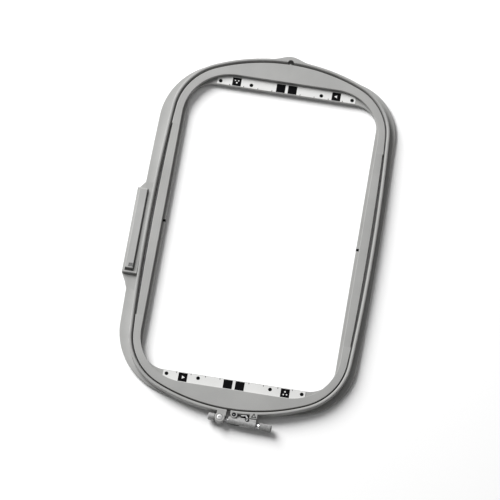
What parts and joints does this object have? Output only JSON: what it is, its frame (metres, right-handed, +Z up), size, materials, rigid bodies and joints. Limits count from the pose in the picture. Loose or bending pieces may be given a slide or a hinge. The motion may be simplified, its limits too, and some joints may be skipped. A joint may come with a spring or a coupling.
{
  "type": "embroidery hoop",
  "caption": "Large embroidery hoop: a split outer ring with a screw clamp and quick-release arm holds an inner ring with printed marker strips; a side connector fits the machine.",
  "frame": {"origin": "centre of the sewing field, on the surface that the hoop lies on", "axes": "+X across the hoop away from the connector, +Y along the hoop away from the clamp, +Z up"},
  "size_m": [0.396, 0.631, 0.0145],
  "materials": {
    "ring_plastic": "fine moulded grain, satin",
    "clamp_plastic": "moulded, slightly rougher than the rings",
    "dark_plastic": "matte",
    "strip_film": "printed satin film",
    "steel": "turned steel",
    "plated_steel": "bright plating"
  },
  "bodies": {
    "outer": {"outer_frame": "ring_plastic", "connector_block": "ring_plastic", "connector_plate": "ring_plastic", "connector_screws": "steel", "index_pad": "dark_plastic", "arm_pivot_pin": "steel", "lock_marker": "clamp_plastic"},
    "inner": {"inner_frame": "ring_plastic", "marker_strip_top": "strip_film", "marker_strip_bottom": "strip_film"},
    "swivel": {"swivel_nut": "plated_steel", "nut_sleeve": "clamp_plastic"},
    "washer": {"thrust_washer": "steel"},
    "screw": {"clamp_screw": "steel", "knob_collar": "plated_steel", "clamp_knob": "clamp_plastic", "knob_cap": "dark_plastic"},
    "arm": {"release_arm": "clamp_plastic", "catch_pin": "steel", "catch_spring": "steel"},
    "catch": {"release_catch": "steel"}
  },
  "joints": [
    {"name": "inner_lift", "type": "slide", "parent": "outer", "child": "inner", "axis": [0, 0, 1], "range_m": [0, 0.03]},
    {"name": "arm_swing", "type": "hinge", "parent": "outer", "child": "arm", "pos_m": [0.0089, -0.3042, 0.0073], "axis": [0, 0, 1], "range_deg": [-12, 0]},
    {"name": "nut_swivel", "type": "hinge", "parent": "outer", "child": "swivel", "pos_m": [-0.0125, -0.3116, 0.0073], "axis": [0, 0, 1], "range_deg": [-8, 0]},
    {"name": "screw_travel", "type": "slide", "parent": "swivel", "child": "washer", "axis": [0.9983, -0.0576, 0], "range_m": [0, 0.0045]},
    {"name": "screw_turn", "type": "hinge", "parent": "washer", "child": "screw", "pos_m": [0.0474, -0.31505, 0.0073], "axis": [0.9983, -0.0576, 0], "range_deg": [0, 1084]},
    {"name": "catch_turn", "type": "hinge", "parent": "arm", "child": "catch", "pos_m": [0.0309, -0.3094, 0.0119], "axis": [0, 0, 1], "range_deg": [0, 10], "stiffness_Nm_per_rad": 0.02}
  ],
  "couplings": [
    {"joint": "nut_swivel", "follows": "arm_swing", "ratio": 0.642},
    {"joint": "screw_turn", "follows": "screw_travel", "rad_per_m": 4188.8}
  ]
}
